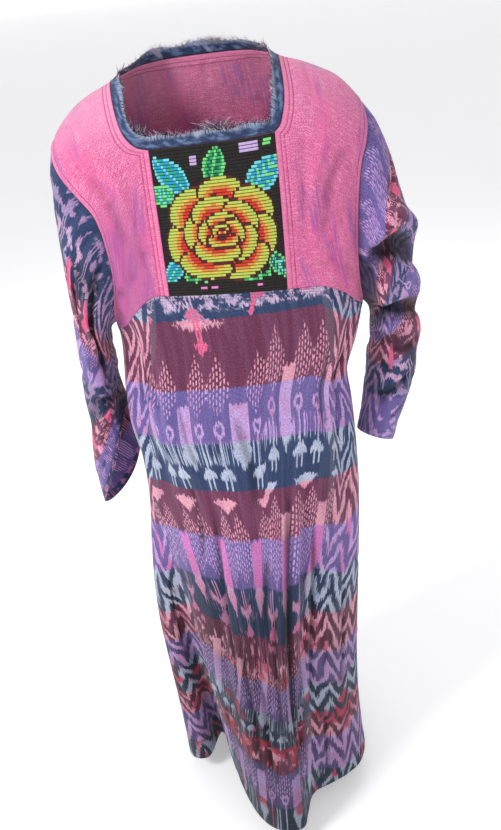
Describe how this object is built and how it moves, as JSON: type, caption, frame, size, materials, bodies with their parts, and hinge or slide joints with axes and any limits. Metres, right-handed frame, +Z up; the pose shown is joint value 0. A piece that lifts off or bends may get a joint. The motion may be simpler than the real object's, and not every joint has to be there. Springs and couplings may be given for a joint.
{
  "type": "embroidered maxi dress",
  "caption": "Long worn dress in ikat cotton with a pink handwoven yoke, a floral brocade bib, a raw-edged indigo neck strip and long sleeves, kept in its worn hollow form",
  "frame": {"origin": "midway between the wearer's shoulders, at the height of the middle of the shoulder seams", "axes": "+Z up along the body, -Y the front of the dress, +X the wearer's left"},
  "size_m": [0.6102, 0.467, 1.4478],
  "materials": {
    "handwoven_pink": "coarse handwoven cotton, matt, slubbed pink with a purplish cross thread",
    "floral_brocade": "dense raised thread brocade on black, yellow-green, orange, red, turquoise and green",
    "ikat_cotton": "matt tie-dyed warp cotton in navy, maroon and purple bands with pale feathered motifs",
    "indigo_strip": "matt denim-blue cotton strip",
    "frayed_thread": "loose frayed cotton threads, white, navy, maroon and black"
  },
  "bodies": {
    "root": {"yoke_front_right": "handwoven_pink", "yoke_front_left": "handwoven_pink", "yoke_back": "handwoven_pink", "bib_panel": "floral_brocade", "skirt_front": "ikat_cotton", "skirt_back": "ikat_cotton", "sleeve_right": "ikat_cotton", "sleeve_left": "ikat_cotton", "neck_band": "indigo_strip", "neck_fringe": "frayed_thread"}
  },
  "joints": []
}
